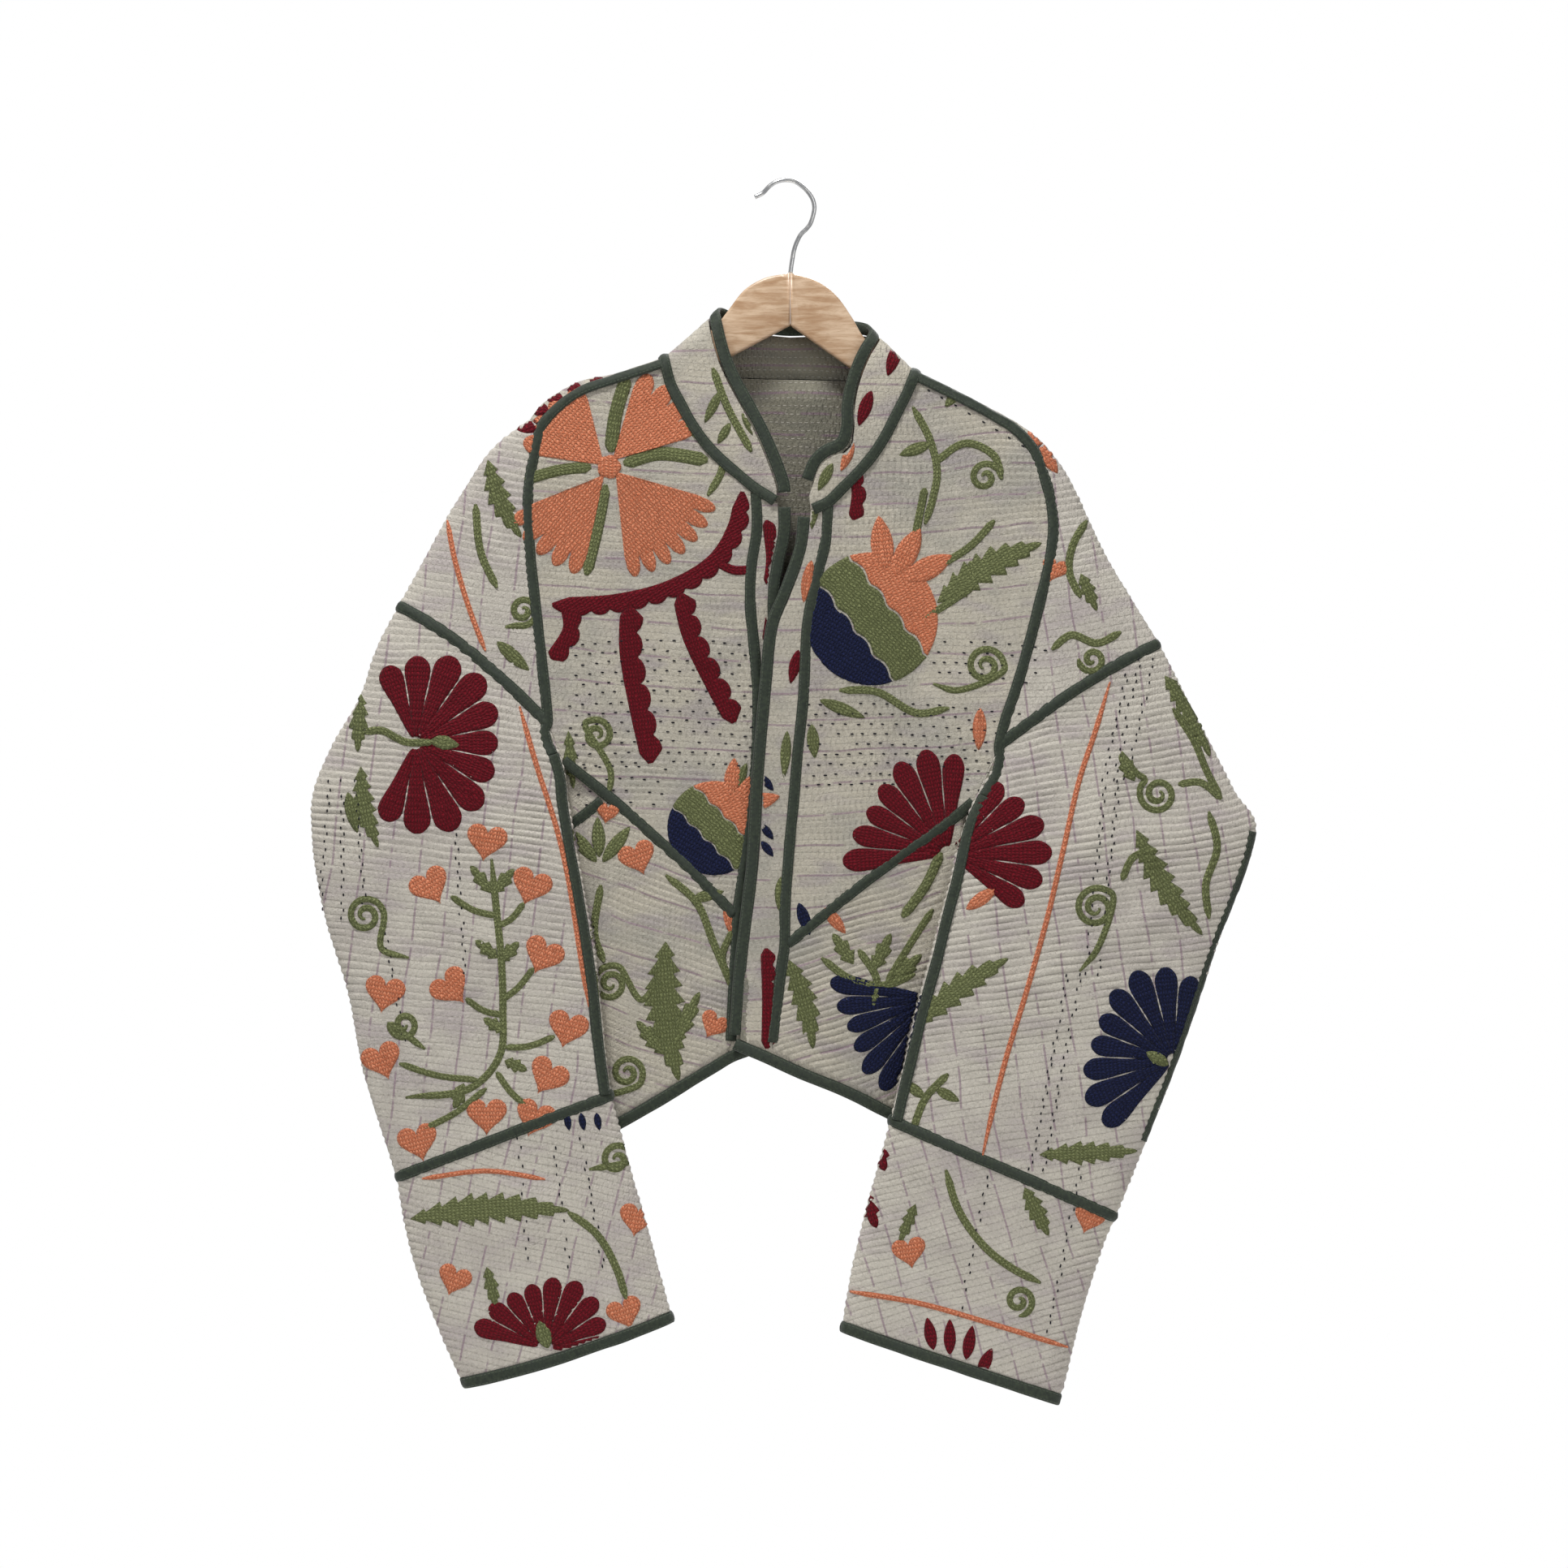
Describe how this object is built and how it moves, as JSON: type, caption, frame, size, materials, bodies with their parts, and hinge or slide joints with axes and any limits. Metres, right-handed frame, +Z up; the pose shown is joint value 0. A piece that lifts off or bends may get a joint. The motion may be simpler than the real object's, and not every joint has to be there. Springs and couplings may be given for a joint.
{
  "type": "kantha jacket on a wooden hanger",
  "caption": "Cropped, boxy quilted cotton jacket with bound seams, stand collar, dropped shoulders and embroidered flowers, hung open-fronted on a wooden hanger with a wire hook.",
  "frame": {"origin": "inside top of the hook's bend, where the hook rests on the rail or nail that carries it", "axes": "+Z up, +X to the viewer's right, and -Y out of the front towards the viewer"},
  "size_m": [0.7586, 0.0614, 0.9855],
  "materials": {
    "kantha_cloth": "quilted cotton, matte, with embroidery",
    "binding_cloth": "dark olive cotton bias binding, matte",
    "hanger_wood": "satin varnished",
    "hook_wire": "bright plated wire"
  },
  "bodies": {
    "root": {"back": "kantha_cloth", "back_armhole_binding_left": "binding_cloth", "back_armhole_binding_right": "binding_cloth", "back_hem_binding": "binding_cloth", "band_seam_binding_left": "binding_cloth", "band_seam_binding_right": "binding_cloth", "cap_left": "kantha_cloth", "cap_right": "kantha_cloth", "collar": "kantha_cloth", "collar_top_binding": "binding_cloth", "cuff_edge_binding_left": "binding_cloth", "cuff_edge_binding_right": "binding_cloth", "cuff_left": "kantha_cloth", "cuff_right": "kantha_cloth", "cuff_seam_binding_left": "binding_cloth", "cuff_seam_binding_right": "binding_cloth", "drop_seam_binding_left": "binding_cloth", "drop_seam_binding_right": "binding_cloth", "front_band_left": "kantha_cloth", "front_band_right": "kantha_cloth", "front_diagonal_binding_left": "binding_cloth", "front_diagonal_binding_right": "binding_cloth", "front_edge_binding_left": "binding_cloth", "front_edge_binding_right": "binding_cloth", "front_hem_binding_left": "binding_cloth", "front_hem_binding_right": "binding_cloth", "front_lower_left": "kantha_cloth", "front_lower_right": "kantha_cloth", "front_upper_left": "kantha_cloth", "front_upper_right": "kantha_cloth", "gusset_binding_left": "binding_cloth", "gusset_left": "kantha_cloth", "gusset_right": "kantha_cloth", "hanger_arm_left": "hanger_wood", "hanger_arm_right": "hanger_wood", "hanger_hook": "hook_wire", "neck_seam_binding": "binding_cloth", "shoulder_armhole_binding_left": "binding_cloth", "shoulder_armhole_binding_right": "binding_cloth", "sleeve_inner_binding_left": "binding_cloth", "sleeve_inner_binding_right": "binding_cloth", "sleeve_left": "kantha_cloth", "sleeve_outer_binding_right": "binding_cloth", "sleeve_right": "kantha_cloth"}
  },
  "joints": []
}
